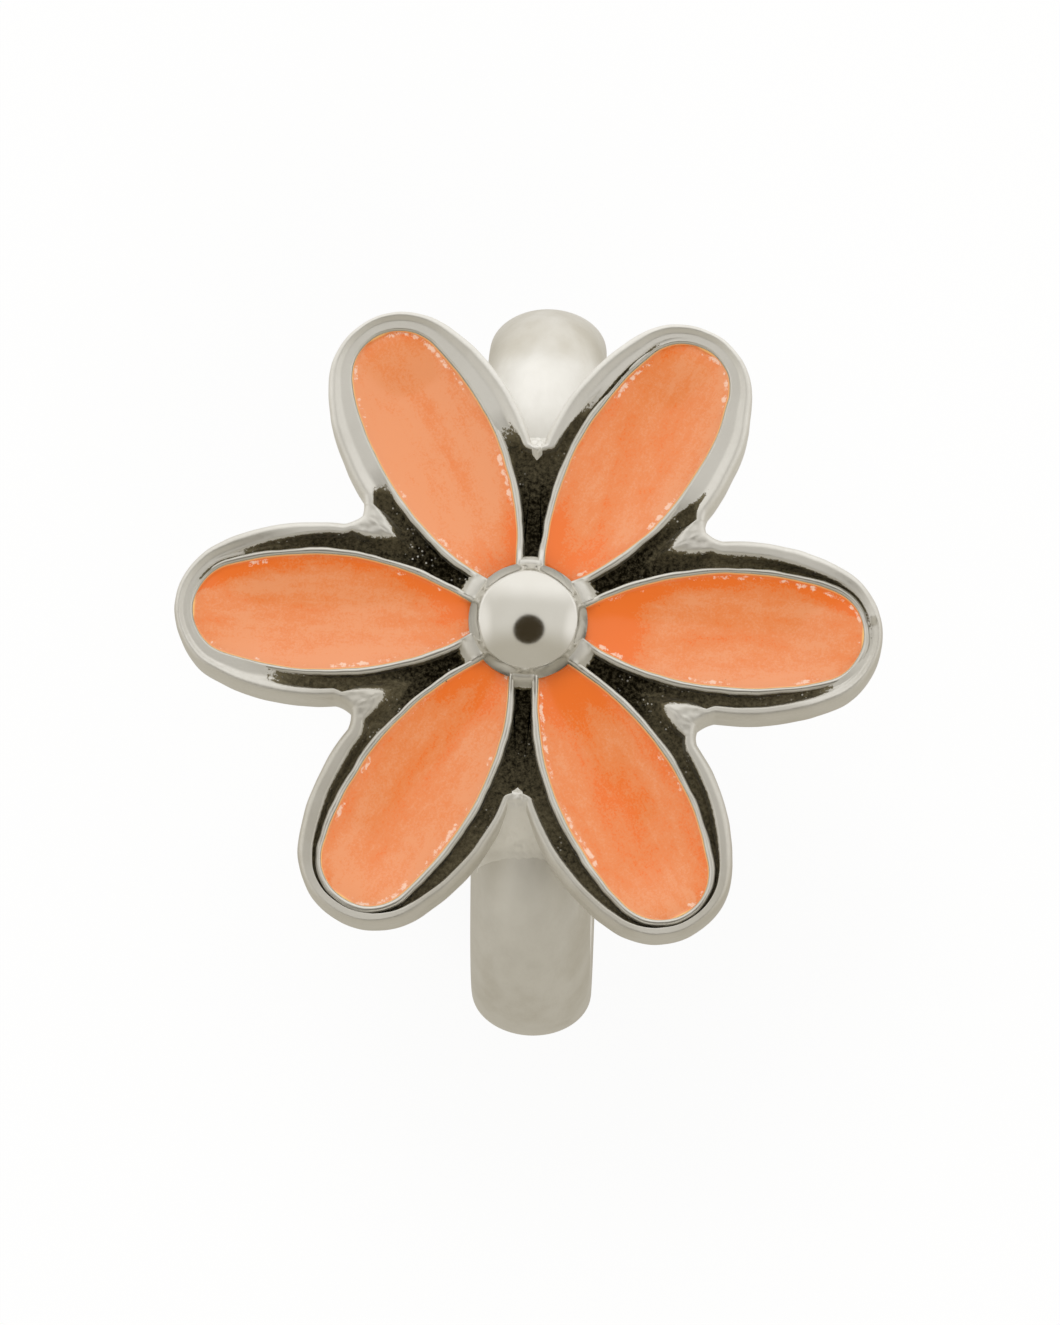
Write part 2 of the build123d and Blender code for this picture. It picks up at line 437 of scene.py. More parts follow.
def silverMaterial(name, look):
    metal = metalLook
    material, tree = newMaterial(name)
    patina, paintedLight, matt = (attribute(tree, key) for key in ("patina", "paintedLight", "matt"))
    # polished metal nearby stays bright, so blackening is weaker in mirror rays
    mirrored = add(tree, "ShaderNodeLightPath").outputs["Is Glossy Ray"]
    amount = times(tree, patina, minus(tree, 1, times(tree, mirrored, metal["mirrorLoss"])))
    skin = add(tree, "ShaderNodeGroup", node_tree=castSkin, **look["skin"])
    black = add(tree, "ShaderNodeGroup", node_tree=blackening, Amount=amount, **look["black"])
    cloud = ramp(tree, skin.outputs["Cloud"], (*metal["cloudRun"], 0, look["tarnish"]), True)
    # painted light: an attribute below zero pulls the tone toward the tarnish tone as painted shade, and
    # above zero toward a pale tone as a painted highlight
    tone = mix(tree, minus(tree, cloud, paintedLight, True), metal["bare"], metal["tarnishAndShade"])
    tone = mix(tree, minus(tree, paintedLight, cloud, True), tone, metal["polished"])
    tone = mix(tree, times(tree, skin.outputs["Pit"], metal["pitTarnish"]), tone, metal["tarnishAndShade"])
    worn = times(tree, minus(tree, metal["wornBelow"], patina), metal["wear"])
    worn = plus(tree, black.outputs["Tone"], times(tree, worn, skin.outputs["Cloud"]))
    dark = mix(tree, ramp(tree, worn, (*metal["rubbedRun"], 0, 1)), metal["black"], metal["rubbed"])
    satin = [look["roughness"] * (1 + sign * metal["grainSwing"]) for sign in (-1, 1)]
    satin = plus(tree, ramp(tree, skin.outputs["Grain"], (0.3, 0.7, *satin)), matt)
    mask, rough = black.outputs["Mask"], times(tree, black.outputs["Tone"], metal["blackHeight"])
    height = mixValue(tree, mask, skin.outputs["Height"], rough)
    bump = add(tree, "ShaderNodeBump", Strength=look["bump"], Distance=metal["bumpDepth"] * mm, Height=height)
    output(tree, add(tree, "ShaderNodeBsdfPrincipled", Base_Color=mix(tree, mask, tone, dark), Metallic=1.0,
                     Roughness=mixValue(tree, mask, satin, metal["blackRoughness"]), Normal=bump.outputs[0]))
    return material


plateSilver = silverMaterial("plateSilver", {
    "skin": {"Cloud Size": 1.6, "Grain Size": 0.05, "Pits": 0.30, "Brushed": 0.0},
    "black": {"Raggedness": 0.68, "Grain Size": 0.034, "Specks": 0.85},
    "tarnish": 0.34, "roughness": 0.50, "bump": 0.45,
})
wallSilver = silverMaterial("wallSilver", {
    "skin": {"Cloud Size": 0.8, "Grain Size": 0.04, "Pits": 0.25, "Brushed": 0.0},
    "black": {"Raggedness": 0.60, "Grain Size": 0.035, "Specks": 0.5},
    "tarnish": 0.20, "roughness": 0.32, "bump": 0.25,
})
loopSilver = silverMaterial("loopSilver", {
    "skin": {"Cloud Size": 1.1, "Grain Size": 0.05, "Pits": 0.34, "Brushed": 0.7},
    "black": {"Raggedness": 0.45, "Grain Size": 0.05, "Specks": 0.4},
    "tarnish": 0.50, "roughness": 0.46, "bump": 0.45,
})
domeSilver = silverMaterial("domeSilver", {
    "skin": {"Cloud Size": 1.1, "Grain Size": 0.08, "Pits": 0.20, "Brushed": 0.0},
    "black": {"Raggedness": 0.50, "Grain Size": 0.03, "Specks": 0.3},
    "tarnish": 0.15, "roughness": 0.12, "bump": 0.08,
})
solderSilver = silverMaterial("solderSilver", {
    "skin": {"Cloud Size": 0.3, "Grain Size": 0.05, "Pits": 0.45, "Brushed": 0.0},
    "black": {"Raggedness": 0.70, "Grain Size": 0.04, "Specks": 0.6},
    "tarnish": 0.25, "roughness": 0.42, "bump": 0.60,
})

enamelLook = {
    "body": (0.79, 0.235, 0.070), "deep": (0.82, 0.165, 0.018), "pale": (0.80, 0.300, 0.128),
    "fleck": (0.90, 0.600, 0.460), "line": (0.92, 0.60, 0.22), "speck": (0.03, 0.02, 0.012),
    "fleckBand": (0.02, 0.06, 0.09, 0.17), "lineBand": (0.014, 0.042), "speckEdge": (0.14, 0.22),
    "bodyRun": (0.05, 0.75), "deepRun": (0.70, 1.35), "patches": (0.40, 0.60, -0.20, 0.03),
    "fleckRun": (0.70, 0.82), "speckScale": 2.6, "speckSize": (0.03, 0.055),
    # each cloud: scale, detail, roughness and how far it swings the colour
    "clouds": {
        "streaks": (1.1, 5.0, 0.62, 2.2), "mottle": (6.0, 6.0, 0.78, 1.5), "grain": (24.0, 3.0, 0.75, 1.3),
        "frost": (8.0, 5.0, 0.72, 0), "region": (1.0, 2.0, 0.6, 0),
    },
    "depth": 0.45, "roughness": 0.34, "bump": 0.30, "bumpDepth": 0.006, "fleckHeight": 0.6,
    "gloss": {"Coat Weight": 1.0, "Coat Roughness": 0.14, "Coat IOR": 1.50, "Specular IOR Level": 0.25},
}


def enamelMaterial(look):
    material, tree = newMaterial("coralEnamel")
    edge, depth = attribute(tree, "edgeMm"), attribute(tree, "depthShare")
    petalMap = add(tree, "ShaderNodeUVMap", uv_map="petalMap").outputs[0]
    along = add(tree, "ShaderNodeMapping", Vector=petalMap, Scale=(1.0, 3.0, 1.0)).outputs[0]
    rich = plus(tree, attribute(tree, "richness"), attribute(tree, "poolAndShade"))
    # thicker glass is darker, and painted shade deepens the colour along the upper edges; streaks and grain
    # break it up
    centre = plus(tree, times(tree, depth, look["depth"]), rich)
    cloud = {}
    for key, (scale, detail, rough, swing) in look["clouds"].items():
        place = along if key == "streaks" else petalMap
        cloud[key] = pattern(tree, "Noise", place, scale, Detail=detail, Roughness=rough)
        if swing:
            centre = plus(tree, centre, times(tree, minus(tree, cloud[key], 0.5), swing))
    colour = mix(tree, rise(tree, centre, *look["bodyRun"]), look["pale"], look["body"])
    colour = mix(tree, rise(tree, centre, *look["deepRun"]), colour, look["deep"])
    # frosty flecks where the glass meets the wall
    start, full, thin, end = look["fleckBand"]
    band = times(tree, ramp(tree, edge, (start, full, 0, 0.24), True), fall(tree, edge, thin, end))
    frost = plus(tree, plus(tree, cloud["frost"], band), ramp(tree, cloud["region"], look["patches"]))
    fleck = ramp(tree, frost, (*look["fleckRun"], 0, 0.9), True)
    colour = mix(tree, fleck, colour, look["fleck"])
    colour = mix(tree, ramp(tree, edge, (*look["lineBand"], 0.75, 0), True), colour, look["line"])
    # a few dark specks, away from the edge
    dot = fall(tree, pattern(tree, "Voronoi", petalMap, look["speckScale"]), *look["speckSize"])
    speck = times(tree, dot, ramp(tree, edge, (*look["speckEdge"], 1, 0)))
    speck = times(tree, speck, ramp(tree, cloud["streaks"], (0.50, 0.52, 0, 0.9)))
    colour = mix(tree, speck, colour, look["speck"])
    satin = ramp(tree, cloud["mottle"], (0.3, 0.7, look["roughness"] * 0.8, look["roughness"] * 1.25))
    height = plus(tree, cloud["mottle"], times(tree, fleck, look["fleckHeight"]))
    bump = add(tree, "ShaderNodeBump", Strength=look["bump"], Distance=look["bumpDepth"] * mm, Height=height)
    output(tree, add(tree, "ShaderNodeBsdfPrincipled", Base_Color=colour, Roughness=satin,
                     Normal=bump.outputs[0], **look["gloss"]))
    return material


coralEnamel = enamelMaterial(enamelLook)
print("materials made")


# flower plate, made of half petals; pairs hold a petal's anticlockwise and clockwise side
plateLook = {
    "columns": 112, "gapColumns": 9, "slopeRows": 13, "channelRows": 26, "crowding": 1.6, "tipColumns": 16,
    "notch": {"side": 0.28, "end": 0.10}, "sharpen": {"side": 0.50, "end": 0.90},
    "backInset": 0.6, "backBreak": 0.05, "sideRow": 0.15,
    # the rim: its width, its soft ridge and the slope to the channel (from, to, how the far end gives way)
    "rimBand": ((0.40, 0.28), (0.28, 0.27), (0.27, 0.27), (0.27, 0.27), (0.22, 0.42), (0.31, 0.24)),
    "tipBlend": (0.72, 0.97), "rimRoom": 0.84, "notchRim": {"side": (0.62, 34), "end": (0.30, 40)},
    "crestAt": 0.10, "crestShare": 0.42, "crestRound": 0.15, "crestTurn": 1.42, "ridge": 0.008,
    "channelDepth": 0.25, "slopeFall": (0.42, 1.0, 0.3), "slopeDark": (0.40, 0.70, 0.7),
    # the webs that fill the side notches
    "webLength": 1.0, "webShare": (0.70, 0.55, 0.55, 0.70, 0.55, 0.55), "webCurve": 1.3,
    "webRough": 0.03, "webGrain": 12,
    # bare metal beyond the end of the channel, and the hub
    "bareDrop": 0.056, "bareRun": 0.45, "wallCover": 0.062, "widen": 0.8,
    "hubEnd": {"side": 1.21, "end": 1.10}, "hubSlope": 0.15, "hubUnder": 0.90, "hubTuck": (0.945, 1.05),
    "hubClean": (0.05, 0.50), "rootClimb": 0.085, "rootRun": (0.92, 1.20),
    # how far the blackening runs out from the centre, and how it ends
    "blackReach": ((5.7, 4.9), (3.7, 3.45), (3.2, 3.15), (4.15, 4.7), (9, 9), (9, 9)),
    "blackEnd": (-0.40, 0.35), "taper": {"line": 1.7, "plain": 0.4}, "tongue": (0.75, 1.0),
    "wornFrom": 1.5, "wornTo": 3.2, "worn": 0.20,
    # how far a thin dark line goes on beside the wall
    "lineReach": ((0, 0), (5.3, 0), (0, 0), (0, 5.6), (0, 0), (0, 0)), "lineShift": 0.45,
    "lineSides": ((0.40, 0.66), (0.90, 0.99)), "lineStart": (-0.9, -0.2), "lineEnd": 0.8,
    "lineDark": 0.90, "lineDepth": 0.03,
    # where the blackening ends against the rim instead; the channel's end is for wallward and rimward
    "rimward": ((0, 0), (0, 1), (0, 0), (0, 0), (0, 0), (0, 0)), "channelEnd": ((-1.0, 0.30), (-1.8, 0.0)),
    "leanLimit": (0.15, 1.2), "leanRun": (-1.2, 0.2), "leanSoft": (-0.50, 0.15),
    # painted light: the upper rims are painted brighter and the lower ones darker, as light from above falls
    # on them
    "upperPaintedHighlight": 0.45, "upperRun": (-1.0, 2.5), "lowerPaintedShade": 0.15, "lowerRun": (1.5, 3.5),
}
channelZ = plateHigh[2] - plateLook["channelDepth"]
bareEnd = plateHigh[2] - plateLook["bareDrop"]


def rootClimb(radius):  # walls and webs rise a little where they meet the dome
    return plateLook["rootClimb"] * easeOut(*plateLook["rootRun"], radius)


def halfSector(kind):  # one half of a petal's plate, petal along +X: outline and pocket edge by columns
    look = plateLook
    notchRadius = look["notch"][kind]
    root = leafCentres(lobeShape)[0]
    bisector = np.array([math.cos(step / 2), math.sin(step / 2)])
    across = root @ bisector
    gap = lobeShape["rootRadius"] + notchRadius
    notchCentre = bisector * (across + math.sqrt(across**2 - root @ root + gap**2))
    start = root + (notchCentre - root) * (lobeShape["rootRadius"] / gap)
    bottom = notchCentre - bisector * notchRadius
    outer, outerOut = leafRun(lobeShape, start)
    wallStart = startOnCircle(wallShape, domeHigh[0])
    shares = np.linspace(0, 1, look["columns"] - look["gapColumns"])
    wall, wallOut = resample(*leafRun(wallShape, wallStart), shares)
    gapArc = arcRun((0, 0), bisector * domeHigh[0], wallStart, look["gapColumns"] + 1)[:-1]
    pocket = np.concatenate([gapArc, wall])
    away = np.concatenate([gapArc * 0, wallOut])
    # the outline point straight out from each wall point
    closeEnough = 0.02
    hits = np.full(len(pocket), -1)
    for k in range(look["gapColumns"], len(pocket)):
        gone = outer - pocket[k]
        off = abs(gone @ np.array([-away[k, 1], away[k, 0]]))
        off[gone @ away[k] < 0] = np.inf
        if off.min() < closeEnough:
            hits[k] = off.argmin()
    first = int(np.argmax(hits > 0))
    notchArc = arcRun(notchCentre, bottom, start, first + 1)
    chord = bottom + (start - bottom) * np.linspace(0, 1, first + 1)[:, None]
    inward = np.concatenate([unit(notchArc - notchCentre)[:-1], -outerOut[hits[first:]]])
    notchArc = notchArc + look["sharpen"][kind] * (chord - notchArc)
    return np.concatenate([notchArc[:-1], outer[hits[first:]]]), inward, pocket, away, first


def columnCut(half, kind, index, side, k):  # where rim, channel, wall and hub lie in one column
    look = plateLook
    edge, inward, pocket, away, first = half
    p, n, q = edge[k], inward[k], pocket[k]
    band, reach, lineReach, rimward = (
        look[key][index][side] for key in ("rimBand", "blackReach", "lineReach", "rimward"))
    room, radius = np.linalg.norm(q - p), np.linalg.norm(q)
    near = 0.0
    if kind == "side":
        near = max(0.0, 1 - k / (first * look["webShare"][index])) ** look["webCurve"]
    least, run = look["notchRim"][kind]
    tipBand = sum(look["rimBand"][index]) / 2
    band += (tipBand - band) * float(easeIn(*look["tipBlend"], k / (len(edge) - 1)))
    band *= least + (1 - least) * float(easeIn(0, first + run, k))
    most = look["rimRoom"] * room
    foot = min(band * (1 - near) + look["webLength"] * near, most)
    # where the blackening ends, the rim widens until it meets the wall
    taper = look["taper"]["line" if lineReach else "plain"]
    bare = easeIn(reach - taper, reach + look["blackEnd"][1], radius) * (1 - near) * (1 - rimward)
    foot += (most - foot) * look["widen"] * bare
    shift = max(0.0, band - most) / room * (1 - near) + look["lineShift"] * bare * (lineReach > 0)
    level = float(easeOut(*about(reach, look["channelEnd"][rimward]), radius))
    least, most = look["leanLimit"]
    limit = least + most * easeOut(*about(reach, look["leanRun"]), radius)
    black = easeOut(*about(reach, look["blackEnd"]), radius)
    q = q * (1 - (1 - look["hubUnder"]) * easeOut(*look["hubTuck"], radius))  # in under the dome
    hubEnd = look["hubEnd"][kind]
    hub = easeOut(hubEnd - look["hubSlope"], hubEnd, np.linalg.norm(q))
    q = q - away[k] * look["wallCover"] * max(1 - level, hub)  # bare metal runs up over the wall
    return {
        "p": p, "n": n, "q": q, "foot": foot, "crest": min(look["crestAt"], look["crestShare"] * foot),
        "whole": foot + np.linalg.norm(q - (p + n * foot)), "near": near, "shift": shift, "level": level,
        "limit": limit, "black": black, "reach": reach, "lineReach": lineReach, "rimward": rimward,
        "hubEnd": hubEnd,
    }


def bareHeight(cut, gone):
    share = (gone - cut["crest"]) / (cut["whole"] - cut["crest"])
    return plateHigh[2] - plateLook["bareDrop"] * float(easeIn(0, plateLook["bareRun"], share))


def rimRows(cut):  # back, broken back edge, side and rounded crest
    look = plateLook
    p, n, crest = cut["p"], cut["n"], cut["crest"]
    back, top, soft = plateLow[2], plateHigh[2], look["backBreak"]
    steps = [(look["backInset"], back), (soft, back), (soft * 0.3, back + soft * 0.3), (0, back + soft),
             (0, back + look["sideRow"]), (0, (back + top) / 2)]
    full = look["crestTurn"]  # stops short of flat, so that the rim keeps a soft ridge
    for turn in np.linspace(0, full, 9):
        inset = crest * (1 - math.cos(turn)) / (1 - math.cos(full))
        steps.append((inset, top - look["crestRound"] * (math.sin(full) - math.sin(turn))))
    return [(*(p + n * inset), z, 0) for inset, z in steps]


def slopeRows(cut):  # from the crest down to the channel
    look = plateLook
    p, n, crest, level, shift = (cut[key] for key in ("p", "n", "crest", "level", "shift"))
    top, ridge = plateHigh[2], look["ridge"]

    def moved(span, share):
        return easeIn(span[0] + shift, span[1] + span[2] * shift, share)

    rows = []
    for share in np.linspace(0, 1, look["slopeRows"])[1:]:
        gone = crest + (cut["foot"] - crest) * share
        place = p + n * gone
        deep = top - ridge * share - (top - ridge - channelZ) * float(moved(look["slopeFall"], share))
        rough = cut["near"] * look["webRough"] * unevenness(*place * look["webGrain"], 0.5)
        dark = (1 - look["worn"]) * cut["black"] * moved(look["slopeDark"], share)
        rows.append((*place, deep * level + bareHeight(cut, gone) * (1 - level) + rough, dark))
    return rows


def channelRows(cut):  # along the channel and the hub to the wall, and down into the pocket
    look = plateLook
    q, foot, level, reach, lineReach = (cut[key] for key in ("q", "foot", "level", "reach", "lineReach"))
    base = cut["p"] + cut["n"] * foot
    (lineIn, lineFull), (lineFall, lineOut) = look["lineSides"]
    rows = []
    for share in 1 - (1 - np.linspace(0, 1, look["channelRows"])[1:]) ** look["crowding"]:
        place = base + (q - base) * share
        radius = np.linalg.norm(place)
        hub = easeOut(cut["hubEnd"] - look["hubSlope"], cut["hubEnd"], radius)
        bare = bareHeight(cut, foot + np.linalg.norm(place - base))
        floor = channelZ * level + bare * (1 - level)
        if cut["rimward"]:
            thin = easeOut(*about(cut["limit"], look["leanSoft"]), share)
        else:
            thin = 1 - easeIn(*look["tongue"], share) * (1 - level)  # the dark tongue narrows as it ends
        line = easeIn(lineIn, lineFull, share) * easeOut(lineFall, lineOut, share)
        line *= easeIn(*about(reach, look["lineStart"]), radius)
        line *= look["lineDark"] * easeOut(lineReach - look["lineEnd"], lineReach, radius)
        z = floor + (bareEnd + rootClimb(radius) - floor) * hub - look["lineDepth"] * line
        worn = 1 - look["worn"] * easeIn(look["wornFrom"], look["wornTo"], radius)
        dark = max(cut["black"] * worn * thin, line) * easeOut(*look["hubClean"], hub)
        rows.append((*place, z, dark))
    return rows + [(*(q * inset), fillLow[2] + up, 0) for inset, up in ((0.9985, 0.02), (0.998, 0))]


def plateColumns(half, kind, index, side):
    cuts = [columnCut(half, kind, index, side, k) for k in range(len(half[0]))]
    return np.array([rimRows(cut) + slopeRows(cut) + channelRows(cut) for cut in cuts])


def buildPlate():
    look = plateLook
    halves = {kind: halfSector(kind) for kind in ("side", "end")}
    blend = easeIn(0, 1, np.linspace(0, 1, look["tipColumns"]))[:, None, None]
    columns = []
    for index in range(petals):
        after, before = ("end" if (index - back) % 3 == 1 else "side" for back in (0, 1))
        upper = plateColumns(halves[after], after, index, 0)
        lower = plateColumns(halves[before], before, index, 1) * (1, -1, 1, 1)
        # both sides agree at the tip
        middle = (upper[-1, :, 2:] + lower[-1, :, 2:]) / 2
        for side in (upper, lower):
            side[-look["tipColumns"]:, :, 2:] += (middle - side[-1, :, 2:])[None] * blend
        columns.append(turned(np.concatenate([lower[:-1], upper[::-1][:-1]]), index * step))
    grid = np.concatenate(columns)
    flat = grid.reshape(-1, 4)
    # painted highlight on the upper side of the flower and painted shade on its lower side
    paintedLight = look["upperPaintedHighlight"] * easeIn(*look["upperRun"], flat[:, 1])
    paintedLight -= look["lowerPaintedShade"] * easeIn(*look["lowerRun"], -flat[:, 1])
    marks = {"patina": flat[:, 3], "paintedLight": paintedLight}
    return setDown(makePiece("flowerPlate", flat[:, :3], ringFaces(*grid.shape[:2]), marks), 0, plateSilver)


flowerPlate = buildPlate()
settle(flowerPlate, "flower_plate")
print("plate made", len(flowerPlate.data.polygons), "faces")


# petals: a wall and a glass fill, drawn along +X and turned to their places
wallLook = {
    "columns": 150, "underDome": 0.04, "thin": 0.86, "flare": 0.03, "crown": 0.040, "uneven": 0.25,
    "tall": 0.012, "wave": 1.7, "waveSeed": 9.1, "nickWave": 5.0, "nickSeed": 4.3, "nick": (0.5, 0.4),
    "darkest": 0.9, "darkEnd": (-0.4, 0.3),
    # the outer foot: share of the flare, height over the channel, how dark; then the inner side
    "foot": ((1, -0.015, 1), (0.5, 0.04, 1), (0.15, 0.09, 0.75)),
    "inner": (-0.004, 0.08, 0.3), "innerFoot": -0.006,
}
fillLook = {
    "columns": 130, "across": 44, "underDome": 0.05, "dish": 0.17, "climb": 0.018, "climbOver": 0.07,
    "wave": 0.006, "waves": (1.6, 2.6, 7.7), "tuck": 0.012, "lift": 0.01, "crowding": 0.9, "rootEnd": 0.97,
    "tipEnd": 0.002, "dishCurve": 1.2, "dishRuns": ((0, 1.1), (-0.6, 1.0)),
    # the colour is painted deeper along the upper edges as painted shade, and runs deeper toward the tips and
    # the roots
    "paintedShadeBand": (0.08, 0.42), "poolAndShadeDepth": 1.25, "tipShade": 0.4, "rootRun": (1.0, 2.2), "tipRun": (0.1, 0.9),
    "poolRoot": (1.9, 0.8, 0.8, 0.8, 0.8, 0.8), "poolTip": (0.35, 0.10, 0.45, 0.50, 0.0, 0.0),
    "valley": (0.12, 0.10, 0.10, 0.16, 0.36, 0.34), "valleyAt": -0.10, "valleyWide": 0.30,
    "valleyRun": (0.3, 1.2), "richness": (0.08, 0.16, -0.25, -0.10, 0.04, 0.30), "mapStep": 8,
}


def buildWall(index):
    look = wallLook
    start = startOnCircle(cellShape, domeHigh[0] - look["underDome"])
    side, sideOut = resample(*leafRun(cellShape, start), np.linspace(0, 1, look["columns"]))
    line, away = (np.concatenate([run * (1, -1), run[::-1][1:]]) for run in (side, sideOut))
    thick = (wallHigh[1] - fillHigh[1]) * look["thin"]
    low = fillLow[2] + 0.01
    inset, drop, insideDark = look["inner"]
    crownTurns = np.linspace(0, math.pi, 9)
    reach = plateLook["blackReach"][index]
    columns, marks = [], []
    for p, n in zip(line, away):
        share = unevenness(*p * look["wave"], look["waveSeed"] * index)
        nick = unevenness(*p * look["nickWave"], look["nickSeed"] * index)
        t = thick * (1 + look["uneven"] * (share + look["nick"][0] * nick))
        z = wallHigh[2] + look["tall"] * (share - look["nick"][1] * nick) + rootClimb(np.hypot(*p))
        foot = [(t + look["flare"] * out, channelZ + up) for out, up, dark in look["foot"]]
        crown = [(t / 2 * (1 + math.cos(a)), z - look["crown"] * (1 - math.sin(a))) for a in crownTurns]
        section = [(t, low), *foot, *crown, (inset, z - drop), (look["innerFoot"], low)]
        columns.append([(*(p + n * out), up) for out, up in section])
        marks.append([0, *(dark for out, up, dark in look["foot"]), *[0] * len(crown), insideDark, 0])
    points = np.array(columns).reshape(-1, 3)
    end = np.where(points[:, 1] > 0, *reach)
    fade = easeOut(*about(end, look["darkEnd"]), np.hypot(points[:, 0], points[:, 1]))
    dark = np.ravel(marks) * fade * look["darkest"]
    rough = makePiece(f"cellWall{index + 1}", points, barFaces(len(columns), len(marks[0])), {"patina": dark})
    return setDown(rough, index * step, wallSilver)


def poolAndShadeDepth(index, x, v, w, fromEdge):  # how much deeper the colour is across one station, painted shade along the upper edges included
    look = fillLook
    upTip, upSide = math.sin(index * step), math.cos(index * step)  # how far the tip and the near side lie up
    besideWall = (1 - abs(v)) * w < fromEdge + 1e-6
    upward = np.maximum(0, np.where(besideWall, np.sign(v) * upSide, look["tipShade"] * upTip))
    left = cellShape["reach"] - x
    # painted shade along the edges that face up
    poolAndShade = upward * easeOut(*look["paintedShadeBand"], fromEdge)
    poolAndShade += look["poolRoot"][index] * easeOut(*look["rootRun"], x)
    poolAndShade += look["poolTip"][index] * easeOut(*look["tipRun"], left)
    middle = np.exp(-(((v - look["valleyAt"]) / look["valleyWide"]) ** 2)) * easeIn(*look["valleyRun"], left)
    return look["poolAndShadeDepth"] * poolAndShade + look["valley"][index] * middle


def buildFill(index):
    look = fillLook
    inner = domeHigh[0] - look["underDome"]
    side = leafRun(cellShape, startOnCircle(cellShape, inner))[0]
    side = side[np.argsort(side[:, 0])]
    reach = cellShape["reach"] + look["tuck"] * 0.5
    # stations crowd towards the round tip
    along = inner + (reach - inner) * np.sin(np.linspace(0, math.pi / 2, look["columns"])) ** look["crowding"]
    along[0], along[-1] = inner * look["rootEnd"], reach - look["tipEnd"]
    width = np.interp(along, side[:, 0], side[:, 1]) + look["tuck"]
    width[-1] = look["tuck"]
    v = np.sin(np.linspace(-math.pi / 2, math.pi / 2, look["across"]))
    tipDish, rootDish = look["dishRuns"]
    waveX, waveY, seed = look["waves"]
    columns, maps = [], []
    marks = {"edgeMm": [], "depthShare": [], "poolAndShade": []}
    for x, w in zip(along, width):
        y = v * w
        left = cellShape["reach"] - x
        fromEdge = np.minimum((1 - abs(v)) * w, max(left, 0.0))
        hollow = (1 - v**2) * easeIn(*tipDish, left) * easeIn(*rootDish, x - inner)
        share = hollow * min(1.0, w / cellShape["halfWidth"]) ** look["dishCurve"]
        ripple = np.array([unevenness(x * waveX, each * waveY, seed * index) for each in y]) * (1 - abs(v))
        z = fillHigh[2] - look["dish"] * share + look["climb"] * easeOut(0, look["climbOver"], fromEdge)
        z = z + look["wave"] * ripple
        under = [(x, each, fillLow[2] + look["lift"]) for each in (w, -w)]
        station = np.full(len(v), x)
        columns.append(np.concatenate([np.stack([station, y, z], 1), under]))
        maps.append(np.concatenate([np.stack([station + look["mapStep"] * index, y], 1), [(x, w), (x, -w)]]))
        for key, values in zip(marks, (fromEdge, share, poolAndShadeDepth(index, x, v, w, fromEdge))):
            marks[key].extend([*values, 0, 0])
    grid = np.array(columns)
    marks["richness"] = np.full(len(marks["poolAndShade"]), look["richness"][index])
    faces = barFaces(*grid.shape[:2])
    rough = makePiece(f"enamelPetal{index + 1}", grid.reshape(-1, 3), faces, marks, np.concatenate(maps))
    piece = setDown(rough, index * step, coralEnamel)
    piece.visible_glossy = False  # polished metal near the glass stays grey
    return piece


for index in range(petals):
    settle(buildWall(index), f"cell_wall_{index + 1}")
    settle(buildFill(index), f"enamel_petal_{index + 1}")
print("petals made")


# centre dome: between a ball cap and an oval, on a short upright skirt
domeLook = {
    "around": 128, "rows": 44, "oval": 0.90, "uneven": 0.010, "wave": 1.3, "waveUp": 1.2, "openTop": 0.02,
    "skirt": (0.06, 0.02), "skirtDark": 0.05, "darkTo": (0.02, 0.15),
}


def buildDome():
    look = domeLook
    base, edgeZ, topZ = domeHigh[0], fillHigh[2], domeHigh[2]
    tall = topZ - edgeZ
    ball = (base**2 + tall**2) / (2 * tall)
    profile = [(base, domeLow[2]), *((base, edgeZ - down) for down in look["skirt"])]
    for a in np.linspace(0, math.pi / 2 - look["openTop"], look["rows"]):
        r = base * math.cos(a)
        sphere, oval = topZ - ball + math.sqrt(ball**2 - r**2), edgeZ + tall * math.sin(a)
        profile.append((r, sphere + (oval - sphere) * look["oval"]))
    points = []
    for turn in np.linspace(0, 2 * math.pi, look["around"], endpoint=False):
        c, s = math.cos(turn), math.sin(turn)
        for r, z in profile:
            swell = 1 + look["uneven"] * unevenness(c * look["wave"], s * look["wave"], z * look["waveUp"])
            points.append((r * swell * c, r * swell * s, z))
    points = np.array(points)
    dark = look["skirtDark"] * easeOut(*about(edgeZ, look["darkTo"]), points[:, 2])
    piece = makePiece("centreDome", points, ringFaces(look["around"], len(profile)), {"patina": dark})
    piece.data.materials.append(domeSilver)
    return piece


settle(buildDome(), "centre_dome")


# strap loop, of half-oval wire
loopLook = {
    "askew": 1.5, "aside": 0.12, "flatHalf": 2.6, "shoulder": 1.72, "thick": 0.75, "softCorner": 0.07,
    "cornerRise": 0.9, "cornerBulge": 0.6, "cornerSteps": 6, "insideSteps": 10, "straight": 40,
    "bend": 72, "crown": 34, "uneven": 0.012, "wave": (0.6, 0.45), "inset": 0.004,
    # a little blackening stays under the petals, beside the solder: heights from the top, and places along
    "black": 0.12, "blackDeep": (-0.9, -0.15), "blackRun": (2.7, 3.5),
    # painted highlight on the middle of each end, with a ring of painted shade round the upper one
    "upperRun": (3.0, 3.8), "lowerRun": (2.6, 3.2), "polish": 0.8, "lowPaintedHighlight": 0.95, "paintedShade": 0.30,
    "highlightSide": (0.25, 0.80), "sideLoss": 0.75, "highlightEnd": (4.3, 4.8),
    "lowHighlightSide": (0.35, 0.85), "lowHighlightEnd": (4.0, 5.9),
    "flankRing": ((0.50, 0.80), (0.80, 0.97)), "flankPaintedShade": 0.10, "endRing": ((4.5, 5.0), (5.3, 5.7)),
    "matt": 0.10, "gloss": 0.08,
}
crownRise = loopLook["thick"] - loopLook["softCorner"] * loopLook["cornerRise"]


